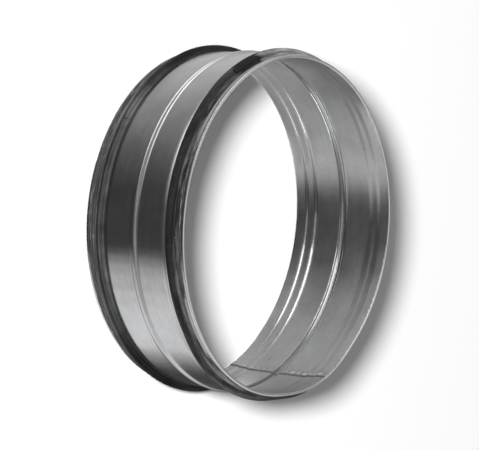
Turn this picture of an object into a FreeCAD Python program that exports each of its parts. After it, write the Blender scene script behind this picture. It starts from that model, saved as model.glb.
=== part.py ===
"""Male coupling for round ducts: a folded sheet steel sleeve with a double-lip rubber gasket at each end.

Millimetres. The axis of the duct is Z and the lower end stands on Z = 0. Sections are drawn as corners
(distance from one end, radius) and turned about the axis.
"""
import math
import os

import FreeCAD
import Part

# Sleeve: one strip of sheet, rolled round and folded at both edges
overall_length = 89.0
body_diameter = 249.0
sheet = 0.5

# Stop bead at the middle of the sleeve, rolled outwards
bead_height = 1.6
bead_width = 6.4
bead_crown = 2.0

# Two inward steps towards each end make the recess that the gasket fills
step_height = 0.97
step_run = 2.6
first_step_at = 10.3
second_step_at = 18.0

# Hem: the edge folded outwards and back over the gasket
hem_length = 5.2
hem_gap = 0.9

# Lap seam: the inner end of the strip swings inwards from the wall, up to its free edge
seam_angle = 23.5
seam_lap = 8.0
seam_step = 0.4
seam_from_end = 1.5
seam_overlap = 0.45

# Gasket: a strap held under the hem, with two lips that lean back towards the bead and stand above the body
seat_clearance = 0.05
strap_from_end = 1.4
strap_end_gap = 0.3
strap_below_body = 0.2
first_lip_height = 1.5
first_lip_reach = 2.95
valley_reach = 2.25
second_lip_height = 4.5
second_lip_reach = 7.75
second_lip_width = 0.9
second_lip_overhang = 1.9

# Joint in the upper gasket: the space between its lips is filled over a short arc
upper_joint_angle = 203.8
upper_joint_length = 30.0
upper_joint_cover = 0.2

# Joint in the lower gasket: a plain butt cut through its lips
lower_joint_angle = 235.0
lower_joint_gap = 0.6
lower_joint_depth = 0.4

# Radii of the middle of the sheet
body_radius = body_diameter / 2 - sheet / 2
shoulder_radius = body_radius - step_height
rim_radius = shoulder_radius - step_height
leg_radius = rim_radius + sheet + hem_gap

# Lines that the gasket's section is drawn on
hem_edge = hem_length + seat_clearance
strap_end = second_step_at - step_run / 2 - strap_end_gap
strap_top = body_diameter / 2 - strap_below_body
first_lip_radius = body_diameter / 2 + first_lip_height
second_lip_radius = body_diameter / 2 + second_lip_height
under_hem = leg_radius - sheet / 2 - seat_clearance
lip_foot = leg_radius + sheet / 2
first_lip_tip = hem_edge + first_lip_reach
valley = hem_edge + valley_reach
second_lip_tip = hem_edge + second_lip_reach

AXIS = FreeCAD.Vector(0, 0, 1)
ORIGIN = FreeCAD.Vector(0, 0, 0)


def hem():
    """Middle of the sheet from the edge of the hem, round the fold to the rim."""
    crest = sheet / 2
    return [
        (hem_length, leg_radius),
        (crest, leg_radius),
        (crest, rim_radius),
    ]


def first_step():
    """The step from the rim to the shoulder."""
    return [
        (first_step_at - step_run / 2, rim_radius),
        (first_step_at + step_run / 2, shoulder_radius),
    ]


def wall():
    """Middle of the sheet from the first step to the crown of the bead."""
    middle = overall_length / 2
    return first_step() + [
        (second_step_at - step_run / 2, shoulder_radius),
        (second_step_at + step_run / 2, body_radius),
        (middle - bead_width / 2, body_radius),
        (middle - bead_crown / 2, body_radius + bead_height),
    ]


def both_halves(half):
    """A path to the middle of the sleeve, followed by its mirror image."""
    return half + [(overall_length - along, radius) for along, radius in reversed(half)]


def heading(start, end):
    """Direction from one corner to the next."""
    return math.atan2(end[1] - start[1], end[0] - start[0])


def beside(path, distance):
    """The path moved to its left by the same distance everywhere."""
    moved = []
    last = len(path) - 1
    for index, (along, radius) in enumerate(path):
        arriving = heading(path[max(index - 1, 0)], path[max(index, 1)])
        leaving = heading(path[min(index, last - 1)], path[min(index + 1, last)])
        half_turn = math.remainder(leaving - arriving, 2 * math.pi) / 2
        reach = distance / math.cos(half_turn)
        moved.append((
            along - reach * math.sin(arriving + half_turn),
            radius + reach * math.cos(arriving + half_turn),
        ))
    return moved


def section(outline):
    """The face inside an outline, in the XZ plane."""
    points = [FreeCAD.Vector(radius, 0, along) for along, radius in outline]
    return Part.Face(Part.makePolygon(points + points[:1]))


def band(path, left, right):
    """The face between two lines that follow a path."""
    return section(beside(path, left) + beside(path, right)[::-1])


def turned(face, start=0.0, sweep=360.0):
    """A face turned about the axis, from one angle through another."""
    placed = face.copy()
    placed.rotate(ORIGIN, AXIS, start)
    return placed.revolve(ORIGIN, AXIS, sweep)


def make_seam():
    """The inner end of the strip: the wall's own section, hinged inwards about the line where it leaves the wall."""
    path = both_halves([(seam_from_end, rim_radius)] + wall())
    inner_face = -sheet / 2
    lap_angle = math.degrees(seam_lap / rim_radius)
    lap = turned(band(path, inner_face + seam_overlap, inner_face), seam_angle, lap_angle)
    root = math.radians(seam_angle + lap_angle)
    hinge = FreeCAD.Vector(math.cos(root), math.sin(root), 0) * rim_radius
    lap.rotate(hinge, AXIS, -math.degrees(seam_step / seam_lap))
    return lap


def make_sleeve():
    """The sheet ring with its bead, steps, hems and lap seam."""
    ring = turned(band(both_halves(hem() + wall()), sheet / 2, -sheet / 2))
    return ring.fuse(make_seam())


def gasket_section():
    """The seat on the sheet, the strap's end, the second lip, the first lip and the edge under the hem."""
    seat = [(strap_from_end, rim_radius)] + first_step() + [(strap_end, shoulder_radius)]
    half_tip = second_lip_width / 2
    return section(beside(seat, sheet / 2 + seat_clearance) + [
        (strap_end, strap_top),
        (second_lip_tip + half_tip - second_lip_overhang, strap_top),
        (second_lip_tip + half_tip, second_lip_radius),
        (second_lip_tip - half_tip, second_lip_radius),
        (valley, lip_foot),
        (first_lip_tip, first_lip_radius),
        (hem_edge, under_hem),
        (strap_from_end, under_hem),
    ])


def make_lower_gasket():
    """The gasket of the lower end, with the butt cut across its lips."""
    floor = lip_foot - lower_joint_depth
    cut = Part.makeBox(second_lip_radius - floor, lower_joint_gap, strap_end - hem_edge)
    cut.translate(FreeCAD.Vector(floor, -lower_joint_gap / 2, hem_edge))
    cut.rotate(ORIGIN, AXIS, lower_joint_angle)
    return turned(gasket_section()).cut(cut)


def make_upper_gasket():
    """The gasket of the upper end, with the filled joint between its lips."""
    fill = section([
        (valley, lip_foot),
        (first_lip_tip - upper_joint_cover, first_lip_radius + upper_joint_cover),
        (second_lip_tip, second_lip_radius - upper_joint_cover),
    ])
    sweep = math.degrees(upper_joint_length / second_lip_radius)
    joint = turned(fill, upper_joint_angle - sweep / 2, sweep)
    gasket = turned(gasket_section()).fuse(joint)
    return gasket.mirror(AXIS * (overall_length / 2), AXIS)


def main():
    os.makedirs("parts", exist_ok=True)
    pieces = {
        "sleeve": make_sleeve(),
        "lower_gasket": make_lower_gasket(),
        "upper_gasket": make_upper_gasket(),
    }
    for node, shape in pieces.items():
        shape.exportStep(f"parts/{node}.step")


main()
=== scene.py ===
"""Looks of the round duct connector: a galvanised sheet steel sleeve with two black double-lip gaskets."""
import math

import bmesh
import bpy
from mathutils import Matrix, Vector


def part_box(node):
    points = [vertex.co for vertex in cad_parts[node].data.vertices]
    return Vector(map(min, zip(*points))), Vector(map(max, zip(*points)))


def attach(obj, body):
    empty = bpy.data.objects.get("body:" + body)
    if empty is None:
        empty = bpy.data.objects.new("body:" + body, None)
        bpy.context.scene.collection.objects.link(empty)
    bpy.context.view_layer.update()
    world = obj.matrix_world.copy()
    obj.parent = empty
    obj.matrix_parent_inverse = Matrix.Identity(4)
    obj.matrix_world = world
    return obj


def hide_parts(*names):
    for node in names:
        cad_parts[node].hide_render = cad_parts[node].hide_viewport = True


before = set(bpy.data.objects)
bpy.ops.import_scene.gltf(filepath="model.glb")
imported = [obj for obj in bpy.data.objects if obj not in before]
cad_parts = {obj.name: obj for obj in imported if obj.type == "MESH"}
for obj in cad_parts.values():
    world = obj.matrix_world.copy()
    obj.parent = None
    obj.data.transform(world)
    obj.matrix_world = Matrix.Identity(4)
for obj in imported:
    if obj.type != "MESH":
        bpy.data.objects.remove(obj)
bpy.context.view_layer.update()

MM = 0.001

# Overall sizes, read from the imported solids, in metres
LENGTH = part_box("sleeve")[1].z
LIP_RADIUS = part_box("upper_gasket")[1].x

# Sleeve section, in metres: radii are those of the middle of the sheet
SHEET = 0.5 * MM
LIP_HEIGHT = 4.5 * MM
STEP_HEIGHT = 0.97 * MM
HEM_RISE = 1.4 * MM
BODY = LIP_RADIUS - LIP_HEIGHT - SHEET / 2
SHOULDER = BODY - STEP_HEIGHT
RIM = SHOULDER - STEP_HEIGHT
LEG = RIM + HEM_RISE
HEM_EDGE = 5.2 * MM
FIRST_STEP = 10.3 * MM
SECOND_STEP = 18.0 * MM
STEP_RUN = 3.1 * MM
STEP_BEND = 9.0 * MM
BEAD_HEIGHT = 1.6 * MM
BEAD_WIDTH = 6.4 * MM
BEAD_CROWN = 2.0 * MM
CROWN_BEND = 2.2 * MM
BEAD_FOOT_BEND = 3.5 * MM

# Roll at the fold of the hem: fuller than the hem, with a neck where the two meet
ROLL_BULGE = 0.6 * MM
ROLL_BEND = 1.0 * MM
ROLL_END = 2.3 * MM
NECK = 3.4 * MM
NECK_BEND = 0.8 * MM

# Lap seam inside the sleeve: angles are in degrees about the axis
LAP = 8.0 * MM
SEAM_ANGLE = 23.5
SEAM_LAP = math.degrees(LAP / RIM)
SEAM_STEP = 0.4 * MM
SEAM_FROM_END = 1.5 * MM
SEAM_EDGE = 0.02
SEAM_CREASE = 0.8

# Gasket section, in metres
CLEARANCE = 0.05 * MM
STRAP_START = 1.4 * MM
STRAP_END = 16.4 * MM
STRAP_BELOW_BODY = 0.2 * MM
STRAP_TOP = BODY + SHEET / 2 - STRAP_BELOW_BODY
UNDER_HEM = LEG - SHEET / 2 - CLEARANCE
LIP_FOOT = LEG + SHEET / 2
FIRST_TIP = 8.2 * MM
FIRST_BELOW_SECOND = 3.0 * MM
FIRST_RADIUS = LIP_RADIUS - FIRST_BELOW_SECOND
VALLEY = 7.5 * MM
SECOND_TIP = 13.0 * MM
SECOND_HALF_TIP = 0.45 * MM
SECOND_OVERHANG = 1.9 * MM
SEAT = SHEET / 2 + CLEARANCE
SEAT_SHIFT = SEAT * math.tan(math.atan2(SHOULDER - RIM, STEP_RUN) / 2)
EDGE_BEND = 0.15 * MM
TIP_BEND = 0.3 * MM
ROOT_BEND = 0.6 * MM

# Filled joint of the upper gasket: its middle and sweep are in degrees about the axis
UPPER_JOINT = 203.8
UPPER_JOINT_LENGTH = 30.0 * MM
UPPER_JOINT_SWEEP = math.degrees(UPPER_JOINT_LENGTH / LIP_RADIUS)
UPPER_JOINT_COVER = 0.2 * MM
UPPER_JOINT_BEND = 0.4 * MM
UPPER_JOINT_STEPS = 24

# Butt joint of the lower gasket, and the kink of its lips there: angle, gap and reach are in degrees
LOWER_JOINT = 235.0
LOWER_JOINT_WIDTH = 0.6 * MM
LOWER_JOINT_GAP = math.degrees(LOWER_JOINT_WIDTH / LIP_RADIUS)
LOWER_JOINT_DEPTH = 0.4 * MM
KINK = 0.08 * MM
KINK_REACH = 3.0

# Ripples of the lips: (waves round the ring, phase in degrees, size), and how far a ripple pulls a lip in
UPPER_RIPPLE = ((3, 20, 0.10 * MM), (7, 75, 0.06 * MM), (17, 10, 0.03 * MM))
LOWER_RIPPLE = ((4, 50, 0.10 * MM), (9, 15, 0.07 * MM), (19, 130, 0.04 * MM))
RIPPLE_PULL = 0.3

# Bells round the ring: (degrees about the axis, half-width in degrees, size). The upper end is sprung out of
# round by a length and skewed by degrees, and the tall lip of its gasket leans to the rim and flares
SPRUNG = ((275.0, 60.0, -1.3 * MM), (23.0, 23.0, 2.3 * MM))
SKEWED = ((26.0, 24.0, 2.0),)
LIP_LEAN = ((295.0, 40.0, 2.6 * MM),)
LIP_FLARE = ((20.0, 17.0, 2.0 * MM),)

# Heights between which the springing and the skewing set in
SPRUNG_FROM = 0.34 * LENGTH
SPRUNG_TO = 0.96 * LENGTH

# Spot welds of the lap: distance from its edge in degrees, height of the domes and how far they are sunk,
# fineness, and (place along the sleeve, radius) in millimetres
WELD_IN = 1.1
WELD_HEIGHT = 0.30 * MM
WELD_SUNK = 0.3 * WELD_HEIGHT
WELD_RINGS = 5
WELD_SIDES = 16
WELDS = (
    (7.5, 0.7), (13.0, 0.9), (20.5, 1.2), (26.5, 1.3), (32.0, 1.0), (38.0, 0.8), (52.0, 1.0),
    (57.5, 1.9), (62.5, 1.5), (68.0, 1.8), (72.5, 1.3), (77.0, 1.1), (81.5, 2.0),
)

# Fineness of the meshes: stations round the ring, how near in degrees an extra station replaces a plain one,
# steps in a right-angled bend, the flat kept beside a bend, and the angle above which an edge stays sharp
TURN = 340
STATION_GAP = 0.1
ARC_STEPS = 9
BESIDE_BEND = 0.12 * MM
SHARP = math.radians(40)

# Share of an edge that a bend may take, where the other end of the edge is bent too and where it isn't, and
# the turn in radians below which a corner counts as straight
SHARED_EDGE = 0.49
OWN_EDGE = 0.95
STRAIGHT = 1e-6

# Kinds of surface on the sleeve, in the order of its materials, and how far from an end the inside starts
BARE, INSIDE, HEM, CREASE, BEND = range(5)
INSIDE_FROM = 0.9 * SEAM_FROM_END

# Slope above which a stretch of the wall counts as bent, and how far up the bends carry painted highlights
BENT = 0.12
HIGHLIGHTED_UP_TO = 0.6 * LENGTH


def unit(start, end):
    """Unit vector from one section point to the next, and the distance."""
    along, radius = end[0] - start[0], end[1] - start[1]
    size = math.hypot(along, radius)
    return along / size, radius / size, size


def rounded_corner(before, corner, after, bend, before_share, after_share):
    """The points of one rounded corner, with some flat kept beside it where there is room."""
    in_along, in_radius, in_size = unit(before, corner)
    out_along, out_radius, out_size = unit(corner, after)
    turn = math.atan2(
        in_along * out_radius - in_radius * out_along,
        in_along * out_along + in_radius * out_radius,
    )
    if abs(turn) < STRAIGHT:
        return [corner]
    half = math.tan(abs(turn) / 2)
    reach = min(bend * half, in_size * before_share, out_size * after_share)
    to_centre = math.copysign(reach / half, turn)
    start = (corner[0] - in_along * reach, corner[1] - in_radius * reach)
    centre = (start[0] - in_radius * to_centre, start[1] + in_along * to_centre)
    dx, dy = start[0] - centre[0], start[1] - centre[1]
    steps = max(2, round(ARC_STEPS * abs(turn) / (math.pi / 2)))
    points = []
    if reach + BESIDE_BEND < in_size / 2:
        points.append((start[0] - in_along * BESIDE_BEND, start[1] - in_radius * BESIDE_BEND))
    for step in range(steps + 1):
        angle = turn * step / steps
        points.append((
            centre[0] + dx * math.cos(angle) - dy * math.sin(angle),
            centre[1] + dx * math.sin(angle) + dy * math.cos(angle),
        ))
    if reach + BESIDE_BEND < out_size / 2:
        end = points[-1]
        points.append((end[0] + out_along * BESIDE_BEND, end[1] + out_radius * BESIDE_BEND))
    return points


def rounded(corners, closed=False):
    """A section path from corners (along, radius, radius of the bend), each one rounded by its bend."""
    points = []
    ends = () if closed else (0, len(corners) - 1)
    for index, (along, radius, bend) in enumerate(corners):
        if bend == 0 or index in ends:
            points.append((along, radius))
            continue
        before = corners[index - 1]
        after = corners[(index + 1) % len(corners)]
        points += rounded_corner(
            before[:2], (along, radius), after[:2], bend,
            SHARED_EDGE if before[2] else OWN_EDGE, SHARED_EDGE if after[2] else OWN_EDGE)
    return points


def beside(path, distance):
    """A finely sampled path moved to its left."""
    moved = []
    for index, point in enumerate(path):
        before = path[max(index - 1, 0)]
        after = path[min(index + 1, len(path) - 1)]
        along, radius, _ = unit(before, after)
        moved.append((point[0] - radius * distance, point[1] + along * distance))
    return moved


def sheet_path():
    """Middle of the sheet from one hem edge to the other."""
    middle = LENGTH / 2
    crest = SHEET / 2
    half = [
        (HEM_EDGE, LEG, 0),
        (NECK, LEG, NECK_BEND),
        (ROLL_END, LEG + ROLL_BULGE, ROLL_BEND),
        (crest, LEG + ROLL_BULGE, ROLL_BEND),
        (crest, RIM, ROLL_BEND),
        (SEAM_FROM_END - BESIDE_BEND, RIM, 0),
        (SEAM_FROM_END, RIM, 0),
        (FIRST_STEP - STEP_RUN / 2, RIM, STEP_BEND),
        (FIRST_STEP + STEP_RUN / 2, SHOULDER, STEP_BEND),
        (SECOND_STEP - STEP_RUN / 2, SHOULDER, STEP_BEND),
        (SECOND_STEP + STEP_RUN / 2, BODY, STEP_BEND),
        (middle - BEAD_WIDTH / 2, BODY, BEAD_FOOT_BEND),
        (middle - BEAD_CROWN / 2, BODY + BEAD_HEIGHT, CROWN_BEND),
    ]
    return rounded(half + [(LENGTH - along, radius, bend) for along, radius, bend in reversed(half)])


def gasket_outline():
    """Section of a gasket with rounded lips, measured from the end of the sleeve that it sits on."""
    return rounded([
        (STRAP_START, RIM + SEAT, EDGE_BEND),
        (FIRST_STEP - STEP_RUN / 2 - SEAT_SHIFT, RIM + SEAT, STEP_BEND - SEAT),
        (FIRST_STEP + STEP_RUN / 2 - SEAT_SHIFT, SHOULDER + SEAT, STEP_BEND + SEAT),
        (STRAP_END, SHOULDER + SEAT, EDGE_BEND),
        (STRAP_END, STRAP_TOP, TIP_BEND),
        (SECOND_TIP + SECOND_HALF_TIP - SECOND_OVERHANG, STRAP_TOP, ROOT_BEND),
        (SECOND_TIP + SECOND_HALF_TIP, LIP_RADIUS, TIP_BEND),
        (SECOND_TIP - SECOND_HALF_TIP, LIP_RADIUS, TIP_BEND),
        (VALLEY, LIP_FOOT, EDGE_BEND),
        (FIRST_TIP, FIRST_RADIUS, TIP_BEND),
        (HEM_EDGE + CLEARANCE, UNDER_HEM, EDGE_BEND),
        (STRAP_START, UNDER_HEM, EDGE_BEND),
    ], closed=True)


def joint_outline():
    """Section of the filled joint, between the lips of the upper gasket."""
    return rounded([
        (VALLEY, LIP_FOOT, 0),
        (FIRST_TIP - UPPER_JOINT_COVER, FIRST_RADIUS + UPPER_JOINT_COVER, UPPER_JOINT_BEND),
        (SECOND_TIP, LIP_RADIUS - UPPER_JOINT_COVER, TIP_BEND),
    ], closed=True)


def add(name, data):
    """A new object in the scene."""
    made = bpy.data.objects.new(name, data)
    bpy.context.scene.collection.objects.link(made)
    return made


def piece(name, vertices, faces, materials, kinds=None):
    """A smooth-shaded mesh object that rides on the part, with a kind of material for each face."""
    mesh = bpy.data.meshes.new(name)
    mesh.from_pydata(vertices, [], faces)
    shell = bmesh.new()
    shell.from_mesh(mesh)
    bmesh.ops.recalc_face_normals(shell, faces=shell.faces)
    shell.to_mesh(mesh)
    shell.free()
    made = add(name, mesh)
    for material in materials:
        mesh.materials.append(material)
    if kinds:
        mesh.polygons.foreach_set("material_index", kinds)
    mesh.shade_smooth()
    mesh.set_sharp_from_angle(angle=SHARP)
    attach(made, "root")
    return made


def ring_faces(count, stations):
    """Quads between closed outlines at successive stations all the way round."""
    faces = []
    for station in range(stations):
        here = station * count
        there = (station + 1) % stations * count
        for index in range(count):
            after = (index + 1) % count
            faces.append((here + index, there + index, there + after, here + after))
    return faces


def around(extra=()):
    """Angles of the stations, in degrees, with extra ones where a feature has its edges."""
    angles = [360.0 * index / TURN for index in range(TURN)]
    kept = [angle for angle in angles if all(abs(angle - other) > STATION_GAP for other in extra)]
    return sorted(kept + [angle % 360 for angle in extra])


def swell(angle, bells):
    """The sum of smooth bells at an angle round the ring."""
    out = 0.0
    for middle, half, size in bells:
        away = abs((angle - middle + 180) % 360 - 180) / half
        if away < 1:
            out += size * math.cos(away * math.pi / 2) ** 2
    return out


def ripple(angle, terms):
    """The sum of sines at an angle round the ring."""
    return sum(size * math.sin(math.radians(waves * angle + phase)) for waves, phase, size in terms)


def eased(value, start, end):
    """Nought before a start, one after an end, and smooth between them."""
    share = max(0.0, min(1.0, (value - start) / (end - start)))
    return share * share * (3 - 2 * share)


def at(angle, along, radius):
    """A point from its angle, distance along and radius, with the upper end sprung out of round."""
    share = eased(along, SPRUNG_FROM, SPRUNG_TO)
    radius += share * swell(angle, SPRUNG)
    turn = math.radians(angle + share * swell(angle, SKEWED))
    return (radius * math.cos(turn), radius * math.sin(turn), along)


def lap_at(angle):
    """How far the lap brings the inside of the sheet inwards at an angle."""
    share = (angle - SEAM_ANGLE) / SEAM_LAP
    return SEAM_STEP * (1 - share) if 0 < share < 1 else 0.0


def kind_of(start, end):
    """The kind of surface of a stretch of the sheet's air side, which runs from hem edge to hem edge."""
    from_end = min(start[0], LENGTH - start[0])
    if end[0] > start[0] and from_end > INSIDE_FROM:
        bent = abs(end[1] - start[1]) > BENT * (end[0] - start[0])
        return BEND if bent and start[0] < HIGHLIGHTED_UP_TO else INSIDE
    return HEM if end[0] <= start[0] and from_end > ROLL_END else BARE


def make_sleeve(materials):
    """The folded sheet ring, with the lap standing inwards from the air side of its wall."""
    path = sheet_path()
    outline = beside(path, -SHEET / 2) + beside(path, SHEET / 2)[::-1]
    rising = [after[0] > before[0] for before, after in zip(path, path[1:] + path[-1:])]
    laps = [
        up and SEAM_FROM_END <= along <= LENGTH - SEAM_FROM_END
        for (along, _), up in zip(path, rising)
    ] + [False] * len(path)
    kinds = [kind_of(start, end) for start, end in zip(path, path[1:])] + [BARE] * (len(path) + 1)
    creased = [CREASE if moves else kind for moves, kind in zip(laps, kinds)]
    crease_from = SEAM_ANGLE - SEAM_CREASE
    angles = around((crease_from, SEAM_ANGLE - SEAM_EDGE, SEAM_ANGLE + SEAM_EDGE, SEAM_ANGLE + SEAM_LAP))
    vertices, every = [], []
    for angle in angles:
        lap = lap_at(angle)
        for (along, radius), moves in zip(outline, laps):
            vertices.append(at(angle, along, radius - (lap if moves else 0.0)))
        every += creased if crease_from - SEAM_EDGE <= angle < SEAM_ANGLE else kinds
    faces = ring_faces(len(outline), len(angles))
    return piece("sleeve_body", vertices, faces, materials, every)


def inner_radius(along):
    """Radius of the air side of the wall at a distance along the sleeve."""
    wall = [
        point for point in beside(sheet_path(), -SHEET / 2)
        if point[1] < LEG and SEAM_FROM_END < point[0] < LENGTH - SEAM_FROM_END
    ]
    return min(wall, key=lambda point: abs(point[0] - along))[1]


def make_welds(material):
    """Low domes in a row along the lap, sunk a little into it."""
    vertices, faces = [], []
    angle = SEAM_ANGLE + WELD_IN
    for along, size in WELDS:
        along, size = along * MM, size * MM
        first = len(vertices)
        surface = inner_radius(along) - lap_at(angle)
        for ring in range(WELD_RINGS + 1):
            share = ring / WELD_RINGS
            height = WELD_HEIGHT * (1 - share * share) - WELD_SUNK * share
            for side in range(WELD_SIDES):
                turn = math.tau * side / WELD_SIDES
                across = math.degrees(size * share * math.sin(turn) / surface)
                place = along + size * share * math.cos(turn)
                vertices.append(at(angle + across, place, surface - height))
        for ring in range(WELD_RINGS):
            here, there = first + ring * WELD_SIDES, first + (ring + 1) * WELD_SIDES
            for side in range(WELD_SIDES):
                after = (side + 1) % WELD_SIDES
                if ring == 0:
                    faces.append((here, there + side, there + after))
                else:
                    faces.append((here + side, there + side, there + after, here + after))
    piece("seam_welds", vertices, faces, [material])


def lip_share(radius):
    """Nought at the foot of the lips and one at the tip of the tall one."""
    return max(0.0, min(1.0, (radius - LIP_FOOT) / (LIP_RADIUS - LIP_FOOT)))


def make_gasket(name, node, upper, material):
    """One gasket: the strap and its two lips, with a slight ripple along the lips."""
    outline = gasket_outline()
    floor = LIP_FOOT - LOWER_JOINT_DEPTH
    half = LOWER_JOINT_GAP / 2
    edges = () if upper else (
        LOWER_JOINT - half,
        LOWER_JOINT - half + SEAM_EDGE,
        LOWER_JOINT + half - SEAM_EDGE,
        LOWER_JOINT + half,
    )
    angles = around(edges)
    terms = UPPER_RIPPLE if upper else LOWER_RIPPLE
    vertices = []
    for angle in angles:
        shift = ripple(angle, terms)
        cut = not upper and abs(angle - LOWER_JOINT) < half - SEAM_EDGE / 2
        if not upper:
            away = (angle - LOWER_JOINT) / KINK_REACH
            shift += math.copysign(KINK, away) * math.exp(-away * away)
        lean = swell(angle, LIP_LEAN) if upper else 0.0
        flare = swell(angle, LIP_FLARE) if upper else 0.0
        for along, radius in outline:
            share = lip_share(radius)
            along += shift * share - lean * share * share
            radius += flare * share * share - abs(shift) * RIPPLE_PULL * share
            if cut:
                radius = min(radius, floor)
            vertices.append(at(angle, LENGTH - along if upper else along, radius))
    made = piece(name, vertices, ring_faces(len(outline), len(angles)), [material])
    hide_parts(node)


def make_joint(material):
    """The filled joint of the upper gasket, between its lips."""
    outline = joint_outline()
    count = len(outline)
    start = UPPER_JOINT - UPPER_JOINT_SWEEP / 2
    vertices = []
    for step in range(UPPER_JOINT_STEPS + 1):
        angle = start + UPPER_JOINT_SWEEP * step / UPPER_JOINT_STEPS
        vertices += [at(angle, LENGTH - along, radius) for along, radius in outline]
    faces = ring_faces(count, UPPER_JOINT_STEPS + 1)[:UPPER_JOINT_STEPS * count]
    faces.append(tuple(range(count)))
    faces.append(tuple(UPPER_JOINT_STEPS * count + index for index in range(count)))
    piece("upper_joint", vertices, faces, [material])


# Range that noise mostly keeps to, and how strong its finer layers are
NOISE_LOW, NOISE_HIGH = 0.3, 0.7
NOISE_ROUGHNESS = 0.6

# Zinc and rubber are a little blue: share of a tone in red, green and blue
COOL = (1.0, 1.005, 1.02)


def turn_share(angle):
    """The share of a turn about the axis, counted from 180 degrees, of an angle in degrees."""
    return (angle + 180) % 360 / 360


class Tree:
    """A node tree and the few steps that looks are built from."""

    def __init__(self, tree):
        self.nodes = tree.nodes
        self.links = tree.links

    def link(self, output, socket):
        """Join an output to a socket."""
        self.links.new(output, socket)

    def spread(self, value, low, high, to_low=0.0, to_high=1.0, smooth=False):
        """A value taken from one range to another, and kept in it."""
        made = self.nodes.new("ShaderNodeMapRange")
        if smooth:
            made.interpolation_type = "SMOOTHSTEP"
        made.inputs["From Min"].default_value = low
        made.inputs["From Max"].default_value = high
        made.inputs["To Min"].default_value = to_low
        made.inputs["To Max"].default_value = to_high
        self.link(value, made.inputs["Value"])
        return made.outputs["Result"]

    def sum(self, operation, first, second):
        """Two values joined by a sum."""
        made = self.nodes.new("ShaderNodeMath")
        made.operation = operation
        for socket, value in zip(made.inputs, (first, second)):
            if isinstance(value, float):
                socket.default_value = value
            else:
                self.link(value, socket)
        return made.outputs["Value"]

    def blend(self, share, first, second):
        """One colour giving way to another."""
        made = self.nodes.new("ShaderNodeMix")
        made.data_type = "RGBA"
        self.link(share, made.inputs["Factor"])
        self.link(first, made.inputs["A"])
        self.link(second, made.inputs["B"])
        return made.outputs["Result"]

    def bearing(self, way):
        """Share of a turn about the axis, counted from 180 degrees, and height, of a place or direction."""
        split = self.nodes.new("ShaderNodeSeparateXYZ")
        self.link(way, split.inputs["Vector"])
        turn = self.sum("ARCTAN2", split.outputs["Y"], split.outputs["X"])
        return self.spread(turn, -math.pi, math.pi), split.outputs["Z"]

    def ring(self, share, levels):
        """A level that changes round the axis, from (degrees, level) pairs."""
        ramp = self.nodes.new("ShaderNodeValToRGB")
        stops = sorted((turn_share(angle), level) for angle, level in levels)
        (first_at, first), (last_at, last) = stops[0], stops[-1]
        seam = last + (first - last) * (1 - last_at) / (first_at + 1 - last_at)
        elements = ramp.color_ramp.elements
        for element in elements:
            element.color = (seam, seam, seam, 1)
        for position, level in stops:
            elements.new(position).color = (level, level, level, 1)
        self.link(share, ramp.inputs["Fac"])
        return ramp.outputs["Color"]


class Looks(Tree):
    """A material, with steps that work in the part's own space."""

    def __init__(self, name):
        self.material = bpy.data.materials.new(name)
        self.material.use_nodes = True
        super().__init__(self.material.node_tree)
        self.shader = self.nodes["Principled BSDF"]
        self.place = self.nodes.new("ShaderNodeTexCoord").outputs["Object"]

    def give(self, name, output):
        """Lead an output to an input of the shader."""
        self.link(output, self.shader.inputs[name])

    def keep(self, name, value):
        """Set an input of the shader that is the same all over."""
        self.shader.inputs[name].default_value = value

    def noise(self, scale, detail, stretch=(1, 1, 1)):
        """Noise that can be finer along some axes than others."""
        squeeze = self.nodes.new("ShaderNodeMapping")
        squeeze.inputs["Scale"].default_value = stretch
        self.link(self.place, squeeze.inputs["Vector"])
        made = self.nodes.new("ShaderNodeTexNoise")
        made.inputs["Scale"].default_value = scale
        made.inputs["Detail"].default_value = detail
        made.inputs["Roughness"].default_value = NOISE_ROUGHNESS
        self.link(squeeze.outputs["Vector"], made.inputs["Vector"])
        return made.outputs["Fac"]

    def vary(self, noise, to_low=0.0, to_high=1.0):
        """The range that noise mostly keeps to, taken to another."""
        return self.spread(noise, NOISE_LOW, NOISE_HIGH, to_low, to_high)

    def grey(self, value, dark, bright):
        """A grey between two tones."""
        made = self.nodes.new("ShaderNodeValToRGB")
        for element, tone in zip(made.color_ramp.elements, (dark, bright)):
            element.color = (*(tone * part for part in COOL), 1)
        self.link(value, made.inputs["Fac"])
        return made.outputs["Color"]

    def where(self):
        """Share of a turn about the axis, distance from the nearer end of the sleeve, and height."""
        share, height = self.bearing(self.place)
        off = self.sum("ABSOLUTE", self.sum("SUBTRACT", height, LENGTH / 2), 0.0)
        return share, self.sum("SUBTRACT", LENGTH / 2, off), height

    def bump(self, height, strength, distance):
        """A fine relief."""
        made = self.nodes.new("ShaderNodeBump")
        made.inputs["Strength"].default_value = strength
        made.inputs["Distance"].default_value = distance
        self.link(height, made.inputs["Height"])
        self.give("Normal", made.outputs["Normal"])


# Zinc, by where it is on the sleeve: darkest and brightest tone, least and greatest roughness
OUTSIDE_ZINC = (0.50, 0.66, 0.21, 0.27)
# The inside's zinc is darker than the outside's as painted shade
INSIDE_SHADED_ZINC = (0.27, 0.43, 0.27, 0.34)
# The bends get a brighter zinc as painted highlights
BEND_ZINC = (0.50, 0.66, 0.15, 0.20)
# The welds get a paler zinc as painted glints
WELD_GLINT_ZINC = (0.58, 0.74, 0.30, 0.40)
HEM_ZINC = (0.45, 0.62, 0.24, 0.32)
WELD_METALLIC = 0.8

# Marks in the zinc, as noise: (scale, detail and, for streaks round the ring, the stretch along each axis)
ROLLED = (1.0, 4.0, (12.0, 12.0, 600.0))
SMUDGED = (28.0, 6.0)
STREAK_SHARE = 0.25
SMUDGE_SHARE = 0.75
STREAK_BUMP = 0.06
RELIEF = 0.2 * MM

# Crystals of the zinc, and how far and which way its shine is drawn out, as a share and a share of a turn
SPANGLE_SCALE = 420.0
SPANGLE = 0.04
BRUSHED = 0.6
BRUSHED_TURN = 0.25


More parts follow.
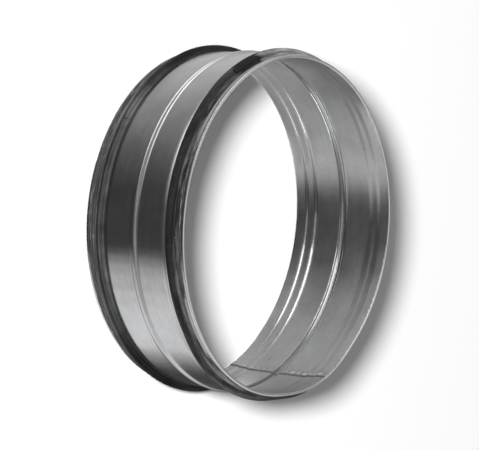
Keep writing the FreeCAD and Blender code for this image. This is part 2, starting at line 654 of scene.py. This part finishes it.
def steel_looks(name, zinc):
    """Galvanised sheet: zinc with rolling streaks round the ring, smudges and a faint spangle."""
    dark, bright, smooth, rough = zinc
    looks = Looks(name)
    looks.keep("Anisotropic", BRUSHED)
    looks.keep("Anisotropic Rotation", BRUSHED_TURN)
    tangent = looks.nodes.new("ShaderNodeTangent")
    tangent.direction_type = "RADIAL"
    tangent.axis = "Z"
    looks.give("Tangent", tangent.outputs["Tangent"])
    streaks = looks.noise(*ROLLED)
    smudges = looks.noise(*SMUDGED)
    spangle = looks.nodes.new("ShaderNodeTexVoronoi")
    spangle.inputs["Scale"].default_value = SPANGLE_SCALE
    looks.link(looks.place, spangle.inputs["Vector"])
    crystal = looks.spread(spangle.outputs["Color"], 0.0, 1.0, -SPANGLE, SPANGLE)
    rolled = looks.sum("MULTIPLY", streaks, STREAK_SHARE)
    smudged = looks.sum("MULTIPLY", smudges, SMUDGE_SHARE)
    mixed = looks.sum("ADD", looks.sum("ADD", rolled, smudged), crystal)
    colour = looks.grey(looks.vary(mixed), dark, bright)
    looks.give("Base Color", colour)
    looks.give("Roughness", looks.vary(mixed, smooth, rough))
    looks.bump(streaks, STREAK_BUMP, RELIEF)
    return looks, colour


def steel_material():
    """The outside of the sheet."""
    looks, _ = steel_looks("galvanised_sheet", OUTSIDE_ZINC)
    looks.keep("Metallic", 1.0)
    return looks.material


# Metallic share of the inside round the ring, lower where it paints shade: (degrees about the axis, share
# that shines)
INSIDE_SHADE_METALLIC = (
    (0, 0.64), (38, 0.64), (58, 0.80), (75, 0.94), (90, 0.96), (105, 0.95), (130, 0.95), (180, 0.9),
    (270, 0.9),
)


def inside_material():
    """The inside of the sheet: a darker zinc and a metallic share that changes round the ring, both painted
    shade.
    """
    looks, _ = steel_looks("galvanised_inside", INSIDE_SHADED_ZINC)
    share, _, _ = looks.where()
    looks.give("Metallic", looks.ring(share, INSIDE_SHADE_METALLIC))
    return looks.material


# Painted highlights on the bends round the ring, as the share of brighter zinc: (degrees about the axis,
# share)
STEP_HIGHLIGHT_SHARE = ((0, 1.0), (92, 1.0), (106, 0.2), (200, 0.2), (300, 1.0))
GROOVE_HIGHLIGHT_SHARE = ((0, 1.0), (92, 1.0), (102, 0.2), (114, 0.2), (124, 1.0), (300, 1.0))

# Distances from the nearer end between which the steps give way to the groove of the bead
STEPS_UP_TO = 0.30 * LENGTH
GROOVE_FROM = 0.35 * LENGTH


def bend_material():
    """The bends inside, with painted highlights: a brighter zinc blended in by a share round the ring."""
    looks, zinc = steel_looks("bends_painted_highlight", BEND_ZINC)
    looks.keep("Metallic", 1.0)
    share, from_end, _ = looks.where()
    highlight_share = looks.blend(
        looks.spread(from_end, STEPS_UP_TO, GROOVE_FROM),
        looks.ring(share, STEP_HIGHLIGHT_SHARE),
        looks.ring(share, GROOVE_HIGHLIGHT_SHARE),
    )
    dark, bright, _, _ = INSIDE_SHADED_ZINC
    dull = looks.grey(looks.noise(*SMUDGED), dark, bright)
    looks.give("Base Color", looks.blend(highlight_share, dull, zinc))
    return looks.material


def weld_material():
    """The spot welds, in a paler zinc than the sheet as painted glints."""
    looks, _ = steel_looks("spot_welds_painted_glint", WELD_GLINT_ZINC)
    looks.keep("Metallic", WELD_METALLIC)
    return looks.material


# Dirt and painted shade along the edge of the lap: its noise, tones and roughness
GRIMY = (500.0, 4.0)
GRIME_AND_SHADE_TONES = (0.03, 0.12)
GRIME_ROUGH = (0.5, 0.7)


def crease_material():
    """The dark line along the edge of the lap: dirt and painted shade in its gap."""
    looks = Looks("seam_crease_dirt_and_shade")
    grime_and_shade = looks.vary(looks.noise(*GRIMY))
    looks.give("Base Color", looks.grey(grime_and_shade, *GRIME_AND_SHADE_TONES))
    looks.give("Roughness", looks.spread(grime_and_shade, 0.0, 1.0, *GRIME_ROUGH))
    return looks.material


# Bare stretch of the upper hem and the start of its smear, in shares of a turn, how bare it is there and
# before the smear, and the noise that makes their ends ragged
BARE_FROM = turn_share(296.0)
BARE_TO = turn_share(319.0)
BARE_EDGE = 0.006
BARE_SHARE = 0.9
SMEAR_FROM = turn_share(236.0)
SMEAR_EDGE = 4 * BARE_EDGE
BEFORE_SMEAR = 0.8
RAGGED = (1.0, 4.0, (160.0, 160.0, 500.0))

# Heights between which the lower half gives way to the upper one
UPPER_FROM = 0.45 * LENGTH
UPPER_TO = 0.55 * LENGTH

# Scuffs of the hem: their noise, the range of it that shows, and their strength on the lower and upper hem
SCUFFED = (1.0, 5.0, (90.0, 90.0, 900.0))
SCUFF_RANGE = (0.56, 0.70)
SCUFF_STRENGTH = (0.32, 0.64)

# The smear itself: its noise, tones and gloss, and the roughness of smeared and bare hem
SMEARED = (1.0, 4.0, (70.0, 70.0, 1200.0))
SMEAR_TONES = (0.012, 0.060)
SMEAR_GLOSS = 0.25
SMEAR_ROUGH = 0.55
BARE_ROUGH = 0.28


def hem_material():
    """The hem: smeared with black rubber, but for a bare stretch and some scuffs."""
    looks, zinc = steel_looks("smeared_hem", HEM_ZINC)
    looks.keep("Specular IOR Level", SMEAR_GLOSS)
    share, _, height = looks.where()
    upper = looks.spread(height, UPPER_FROM, UPPER_TO)
    ragged = looks.vary(looks.noise(*RAGGED), -2 * BARE_EDGE, 2 * BARE_EDGE)
    shaken = looks.sum("ADD", share, ragged)
    opening = looks.spread(shaken, BARE_FROM - BARE_EDGE, BARE_FROM + BARE_EDGE)
    closing = looks.spread(shaken, BARE_TO - BARE_EDGE, BARE_TO + BARE_EDGE, 1.0, 0.0)
    before = looks.spread(shaken, SMEAR_FROM - SMEAR_EDGE, SMEAR_FROM + SMEAR_EDGE, BEFORE_SMEAR, 0.0)
    stretch = looks.sum("MAXIMUM", looks.sum("MULTIPLY", opening, closing), before)
    stretch = looks.sum("MULTIPLY", looks.sum("MULTIPLY", stretch, upper), BARE_SHARE)
    scuffs = looks.spread(looks.noise(*SCUFFED), *SCUFF_RANGE)
    scuffs = looks.sum("MULTIPLY", scuffs, looks.spread(upper, 0.0, 1.0, *SCUFF_STRENGTH))
    bare = looks.sum("MAXIMUM", stretch, scuffs)
    smear = looks.grey(looks.vary(looks.noise(*SMEARED)), *SMEAR_TONES)
    looks.give("Base Color", looks.blend(bare, smear, zinc))
    looks.give("Metallic", bare)
    looks.give("Roughness", looks.spread(bare, 0.0, 1.0, SMEAR_ROUGH, BARE_ROUGH))
    return looks.material


# Dust and painted sheen on each gasket round its ring: (degrees about the axis, tone)
UPPER_DUST_AND_SHEEN = (
    (0, 0.030), (20, 0.008), (60, 0.03), (120, 0.06), (150, 0.16), (165, 0.22), (185, 0.20), (196, 0.10),
    (198, 0.004), (209, 0.004), (211, 0.022), (225, 0.012), (235, 0.007), (270, 0.006), (290, 0.006),
    (310, 0.010), (335, 0.036),
)
LOWER_DUST_AND_SHEEN = (
    (0, 0.02), (90, 0.05), (180, 0.02), (205, 0.025), (218, 0.05), (230, 0.09), (243, 0.06), (254, 0.045),
    (264, 0.040), (278, 0.045), (296, 0.065), (310, 0.045), (326, 0.012), (345, 0.008),
)

# Unevenness of the dust and painted sheen, as noise, and what it multiplies them by
EXTRUDED = (1.0, 4.0, (18.0, 18.0, 900.0))
EXTRUDED_BY = (0.5, 1.5)
CLOUDED = (60.0, 5.0)
CLOUDED_BY = (0.6, 1.4)
WIPED = (1.0, 4.0, (30.0, 30.0, 300.0))
WIPED_RANGE = (0.38, 0.62)

# Least share of the dust and painted sheen that the wiped noise leaves on each gasket
UPPER_LEAST = 0.15
LOWER_LEAST = 0.75

# A lighter tone added on the low lip, how far past its tip it ends, and the tones of the ring between which
# it sets in
LOW_LIP_LIFT = 0.035
LOW_LIP_PAST = 0.6 * MM
LOW_LIP_SETS_IN = (0.004, 0.006)

# Light flecks, painted glints: their noise, the range of it that shows, and their tone
FLECKED = (700.0, 1.0)
FLECK_RANGE = (0.74, 0.79)
FLECK_GLINT_TONE = 0.12

RUBBER_GLOSS = 0.22
RUBBER_ROUGH = (0.45, 0.62)
RUBBER_BUMP = 0.25


def rubber_material(name, dust_and_sheen, least):
    """Black rubber: light flecks as painted glints, streaky grey dust and painted sheen round the ring,
    lighter on the low lip, wiped to a least share.
    """
    looks = Looks(name)
    looks.keep("Specular IOR Level", RUBBER_GLOSS)
    share, from_end, _ = looks.where()
    streaks = looks.noise(*EXTRUDED)
    clouds = looks.noise(*CLOUDED)
    mixed = looks.sum("MULTIPLY", looks.vary(streaks, *EXTRUDED_BY), looks.vary(clouds, *CLOUDED_BY))
    wiped = looks.spread(looks.noise(*WIPED), *WIPED_RANGE, least, 2 - least)
    mixed = looks.sum("MULTIPLY", mixed, wiped)
    level = looks.ring(share, dust_and_sheen)
    low_lip = looks.spread(from_end, FIRST_TIP, FIRST_TIP + LOW_LIP_PAST, LOW_LIP_LIFT, 0.0)
    low_lip = looks.sum("MULTIPLY", low_lip, looks.spread(level, *LOW_LIP_SETS_IN))
    tone = looks.sum("MULTIPLY", looks.sum("ADD", level, low_lip), mixed)
    tone = looks.sum("ADD", tone, looks.spread(looks.noise(*FLECKED), *FLECK_RANGE, 0.0, FLECK_GLINT_TONE))
    looks.give("Base Color", looks.grey(tone, 0.0, 1.0))
    looks.give("Roughness", looks.vary(clouds, *RUBBER_ROUGH))
    looks.bump(streaks, RUBBER_BUMP, RELIEF)
    return looks.material


# Filled joint: its noise and the range of it that shows, tones, gloss, roughness and relief
GRAINED = (900.0, 4.0)
GRAIN_RANGE = (0.35, 0.65)
JOINT_TONES = (0.004, 0.012)
JOINT_GLOSS = 0.15
JOINT_ROUGH = (0.6, 0.75)
JOINT_BUMP = 0.2


def joint_material():
    """The filled joint of the upper gasket: newer, matt black."""
    looks = Looks("gasket_joint")
    looks.keep("Specular IOR Level", JOINT_GLOSS)
    grain = looks.noise(*GRAINED)
    looks.give("Base Color", looks.grey(looks.spread(grain, *GRAIN_RANGE), *JOINT_TONES))
    looks.give("Roughness", looks.spread(grain, *GRAIN_RANGE, *JOINT_ROUGH))
    looks.bump(grain, JOINT_BUMP, RELIEF / 2)
    return looks.material


sleeve = make_sleeve([
    steel_material(),
    inside_material(),
    hem_material(),
    crease_material(),
    bend_material(),
])
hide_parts("sleeve")
make_welds(weld_material())
make_gasket("upper_seal", "upper_gasket", True, rubber_material("upper_rubber", UPPER_DUST_AND_SHEEN, UPPER_LEAST))
make_gasket("lower_seal", "lower_gasket", False, rubber_material("lower_rubber", LOWER_DUST_AND_SHEEN, LOWER_LEAST))
make_joint(joint_material())

# Floor: half its side in metres, and its tone
FLOOR_HALF = 12.0
FLOOR_TONE = 0.9


def make_floor():
    """A plain pale floor, left out of reflections: the room's own lower side shows there."""
    corners = [(-1, -1), (1, -1), (1, 1), (-1, 1)]
    mesh = bpy.data.meshes.new("floor")
    mesh.from_pydata([(x * FLOOR_HALF, y * FLOOR_HALF, 0) for x, y in corners], [], [(0, 1, 2, 3)])
    made = add("floor", mesh)
    looks = Looks("floor")
    looks.keep("Base Color", (FLOOR_TONE, FLOOR_TONE, FLOOR_TONE, 1))
    looks.keep("Roughness", 1.0)
    looks.keep("Specular IOR Level", 0.0)
    mesh.materials.append(looks.material)
    made.visible_glossy = False


def make_card(name, points, faces, level):
    """A grey card that only reflections see."""
    mesh = bpy.data.meshes.new(name)
    mesh.from_pydata(points, [], faces)
    made = add(name, mesh)
    material = bpy.data.materials.new(name)
    material.use_nodes = True
    tree = material.node_tree
    tree.nodes.clear()
    glow = tree.nodes.new("ShaderNodeEmission")
    glow.inputs["Color"].default_value = (level, level, level, 1)
    out = tree.nodes.new("ShaderNodeOutputMaterial")
    tree.links.new(glow.outputs["Emission"], out.inputs["Surface"])
    mesh.materials.append(material)
    made.visible_camera = False
    made.visible_diffuse = False
    made.visible_shadow = False
    made.visible_transmission = False


def arc_card(name, start, end, level, edges, steps):
    """A card between two edges (radius, height), along the ring from one angle in degrees to another."""
    points = []
    for radius, height in edges:
        for step in range(steps + 1):
            turn = math.radians(start + (end - start) * step / steps)
            points.append((radius * math.cos(turn), radius * math.sin(turn), height))
    faces = [(step, step + 1, steps + 2 + step, steps + 1 + step) for step in range(steps)]
    make_card(name, points, faces, level)


# Curved cards under the rim, that reflections inside the ring see past its wall:
# (name, start and end in degrees about the axis, level, top and foot in metres)
SKIRT_RADIUS = 0.1215
SKIRT_STEPS = 36
SKIRTS = (
    ("grey_skirt", 60.0, 146.0, 0.30, -0.001, -0.012),
    ("middle_skirt", 60.0, 92.0, 0.37, -0.012, -0.060),
    ("light_skirt", 92.0, 174.0, 0.54, -0.015, -0.060),
    ("fading_skirt", 147.0, 174.0, 2.5, -0.001, -0.014),
    ("bright_skirt", 176.0, 250.0, 6.0, -0.001, -0.018),
    ("faint_skirt", 251.0, 280.0, 1.1, -0.001, -0.018),
    ("pale_skirt", -6.0, 42.0, 5.5, -0.001, -0.020),
)

# Another one, above part of the ring
OVERHEAD_TURN = (142.0, 238.0)
OVERHEAD_LEVEL = 1.6
OVERHEAD_RADIUS = 0.112
OVERHEAD_TOP = 0.240
OVERHEAD_FOOT = 0.135

# Flat cards lie this far under the floor. One is inside part of the ring, for the steps near its upper end
FLAT_HEIGHT = -0.002
CRESCENT_TURN = (106.0, 154.0)
CRESCENT_LEVEL = 0.70
CRESCENT_RADII = (0.088, 0.114)
CRESCENT_STEPS = 24

# The others spread outwards from the ring as a fan of strips, for the outside of its wall:
# (degrees about the axis, level from there on), their reach, and the two points where the last one ends
FAN_LEVELS = (
    (258.0, 0.06), (279.1, 0.12), (281.5, 0.32), (284.4, 0.54), (288.0, 0.72), (293.9, 0.90), (299.6, 0.97),
    (318.6, 0.60), (322.1, 0.36), (326.1, 0.16), (330.4, 0.06),
)
FAN_REACH = 0.160
FAN_END = ((0.120, 0.200), (0.250, 0.400))

# Camera: its place in units of the radius of the rim's fold, and its axes, in the frame of the part
FOLD = 0.1230
CAMERA_PLACE = Vector((-0.7336, -13.0245, 10.6165)) * FOLD
CAMERA_RIGHT = Vector((-0.05742, 0.62075, 0.78190))
CAMERA_UP = Vector((-0.99731, 0.0, -0.07324))
CAMERA_BACK = Vector((-0.04546, -0.78400, 0.61909))
CAMERA_LENS = 208.28
CAMERA_SENSOR = 36.0
CAMERA_CLIP = (0.05, 60.0)


def make_fan():
    """Strips that run out from the wall the way it mirrors the photo's camera at each angle."""
    camera_turn = math.degrees(math.atan2(CAMERA_PLACE.y, CAMERA_PLACE.x))
    lines = []
    for angle, _ in FAN_LEVELS:
        turn, way = math.radians(angle), math.radians(2 * angle - camera_turn)
        near = (BODY * math.cos(turn), BODY * math.sin(turn))
        far = (near[0] + FAN_REACH * math.cos(way), near[1] + FAN_REACH * math.sin(way))
        lines.append((near, far))
    lines.append(FAN_END)
    for number, (_, level) in enumerate(FAN_LEVELS):
        (near, far), (next_near, next_far) = lines[number], lines[number + 1]
        corners = [(x, y, FLAT_HEIGHT) for x, y in (near, far, next_far, next_near)]
        make_card(f"fan_{number + 1}", corners, [(0, 1, 2, 3)], level)


def make_cards():
    """All the cards that only reflections see."""
    make_fan()
    for name, start, end, level, top, foot in SKIRTS:
        edges = ((SKIRT_RADIUS, top), (SKIRT_RADIUS, foot))
        arc_card(name, start, end, level, edges, SKIRT_STEPS)
    edges = [(radius, FLAT_HEIGHT) for radius in CRESCENT_RADII]
    arc_card("crescent", *CRESCENT_TURN, CRESCENT_LEVEL, edges, CRESCENT_STEPS)
    edges = ((OVERHEAD_RADIUS, OVERHEAD_TOP), (OVERHEAD_RADIUS, OVERHEAD_FOOT))
    arc_card("overhead_skirt", *OVERHEAD_TURN, OVERHEAD_LEVEL, edges, SKIRT_STEPS)


def make_camera():
    """The camera, where the photo's was."""
    lens = bpy.data.cameras.new("camera")
    lens.lens = CAMERA_LENS
    lens.sensor_width = CAMERA_SENSOR
    lens.clip_start, lens.clip_end = CAMERA_CLIP
    camera = add("camera", lens)
    axes = Matrix((CAMERA_RIGHT, CAMERA_UP, CAMERA_BACK)).transposed()
    camera.matrix_world = Matrix.Translation(CAMERA_PLACE) @ axes.to_4x4()
    bpy.context.scene.camera = camera


# Key light: a soft disk beside the camera and as high, so that a narrow shadow shows on the far sides
KEY_PLACE = Vector((-0.245, -1.945, 1.306))
KEY_SIZE = 0.30
KEY_POWER = 17.3


def make_key():
    """The key light, with the same strength at any distance."""
    lamp = bpy.data.lights.new("key", "AREA")
    lamp.shape = "DISK"
    lamp.size = KEY_SIZE
    lamp.energy = KEY_POWER
    lamp.use_nodes = True
    tree = lamp.node_tree
    falloff = tree.nodes.new("ShaderNodeLightFalloff")
    falloff.inputs["Strength"].default_value = 1.0
    tree.links.new(falloff.outputs["Constant"], tree.nodes["Emission"].inputs["Strength"])
    key = add("key", lamp)
    key.location = KEY_PLACE
    key.rotation_mode = "QUATERNION"
    key.rotation_quaternion = KEY_PLACE.to_track_quat("Z", "Y")
    key.visible_glossy = False


# Brightness of the room round the part, in layers from below: (degrees about the axis, level)
ROOM_LOW = (
    (6, 0.48), (17, 0.60), (29, 0.72), (43, 0.72), (55, 0.50), (66, 0.40), (80, 0.45), (113, 0.62),
    (135, 0.72), (153, 0.64), (173, 0.48), (193, 0.34), (213, 0.22), (233, 0.10), (245, 0.07), (263, 0.06),
    (291, 0.06), (297, 0.38), (302, 0.82), (306, 1.0), (313, 1.12), (325, 1.14), (335, 0.86), (348, 0.63),
    (357, 0.62),
)
ROOM_HORIZON = (
    (0, 0.9), (20, 0.9), (35, 0.4), (60, 0.2), (85, 0.25), (110, 0.2), (130, 0.3), (145, 0.7), (157, 1.5),
    (168, 2.4), (180, 3.2), (210, 3.2), (228, 2.4), (240, 1.3), (250, 0.7), (262, 0.15), (296, 0.12),
    (303, 0.30), (312, 0.45), (325, 0.65), (335, 0.85),
)
ROOM_TOP = (
    (0, 0.9), (50, 0.9), (75, 0.35), (100, 0.35), (130, 0.6), (160, 0.7), (185, 0.3), (236, 0.25),
    (255, 0.25), (271, 0.18), (290, 0.18), (299, 0.30), (310, 0.45), (325, 0.60), (344, 0.7),
)
ROOM_OVERHEAD = ((0, 1.0), (50, 0.8), (75, 0.3), (100, 0.3), (125, 0.8), (180, 1.0), (270, 1.0))

# The layers above the lowest, with the heights of the unit direction between which each one sets in
ROOM_LAYERS = (
    (ROOM_HORIZON, -0.24, -0.12),
    (ROOM_TOP, 0.04, 0.13),
    (ROOM_OVERHEAD, 0.57, 0.70),
)
ROOM_AMBIENT = 0.22


def make_room():
    """A room of bright and dark sides for what sees it, and an even light for the rest."""
    world = bpy.data.worlds.new("room")
    bpy.context.scene.world = world
    world.use_nodes = True
    room = Tree(world.node_tree)
    room.nodes.clear()
    way = room.nodes.new("ShaderNodeTexCoord").outputs["Generated"]
    share, height = room.bearing(way)
    layer = room.ring(share, ROOM_LOW)
    for levels, foot, head in ROOM_LAYERS:
        rising = room.spread(height, foot, head, smooth=True)
        layer = room.blend(rising, layer, room.ring(share, levels))
    sides = room.nodes.new("ShaderNodeBackground")
    room.link(layer, sides.inputs["Color"])
    even = room.nodes.new("ShaderNodeBackground")
    even.inputs["Color"].default_value = (1, 1, 1, 1)
    even.inputs["Strength"].default_value = ROOM_AMBIENT
    ray = room.nodes.new("ShaderNodeLightPath").outputs
    mirrored = room.sum("MAXIMUM", ray["Is Glossy Ray"], ray["Is Transmission Ray"])
    both = room.nodes.new("ShaderNodeMixShader")
    room.link(room.sum("MAXIMUM", ray["Is Camera Ray"], mirrored), both.inputs["Fac"])
    room.link(even.outputs["Background"], both.inputs[1])
    room.link(sides.outputs["Background"], both.inputs[2])
    out = room.nodes.new("ShaderNodeOutputWorld")
    room.link(both.outputs["Shader"], out.inputs["Surface"])


make_floor()
make_cards()
make_camera()
make_key()
make_room()

bpy.context.scene.view_settings.view_transform = "Standard"
